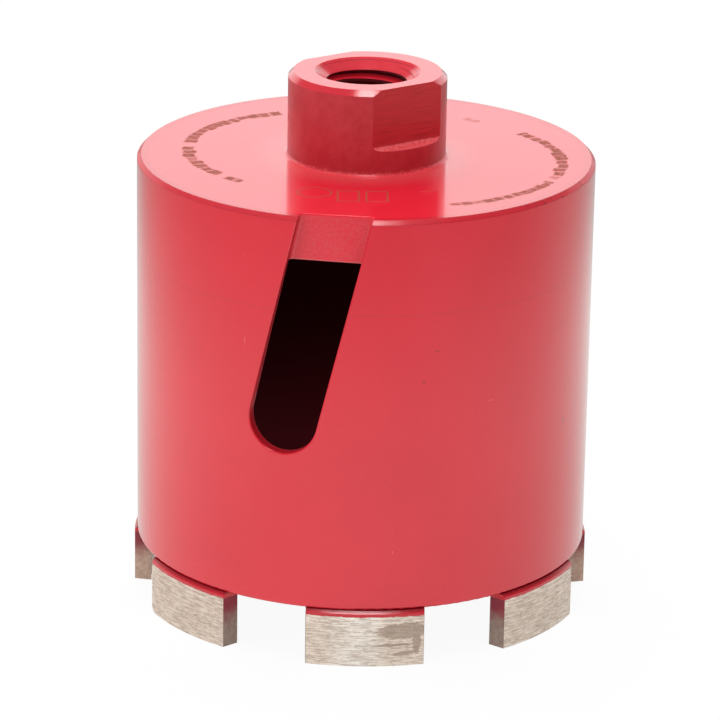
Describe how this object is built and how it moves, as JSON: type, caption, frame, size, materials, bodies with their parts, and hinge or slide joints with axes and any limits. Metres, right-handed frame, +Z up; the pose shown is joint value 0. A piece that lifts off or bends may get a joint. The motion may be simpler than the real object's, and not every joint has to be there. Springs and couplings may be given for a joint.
{
  "type": "diamond core bit",
  "caption": "Dry diamond core bit: a thin steel barrel with a slanted slot, curved cutting segments and a threaded hub.",
  "frame": {"origin": "on the tool's axis, in the plane of the cutting faces that it stands on", "axes": "+Z up along the tool's axis towards the hub; -Y is the front, where the slanted slot is"},
  "size_m": [0.082, 0.0815, 0.0959],
  "materials": {
    "red_paint": "satin-gloss red paint on steel",
    "red_paint_hub": "satin-gloss red paint on turned steel",
    "cutting_metal": "ground sintered metal with streaks, red paint at the top edge"
  },
  "bodies": {
    "root": {"barrel": "red_paint", "end_cap": "red_paint_hub", "segment_1": "cutting_metal", "segment_2": "cutting_metal", "segment_3": "cutting_metal", "segment_4": "cutting_metal", "segment_5": "cutting_metal", "segment_6": "cutting_metal", "segment_7": "cutting_metal"}
  },
  "joints": []
}
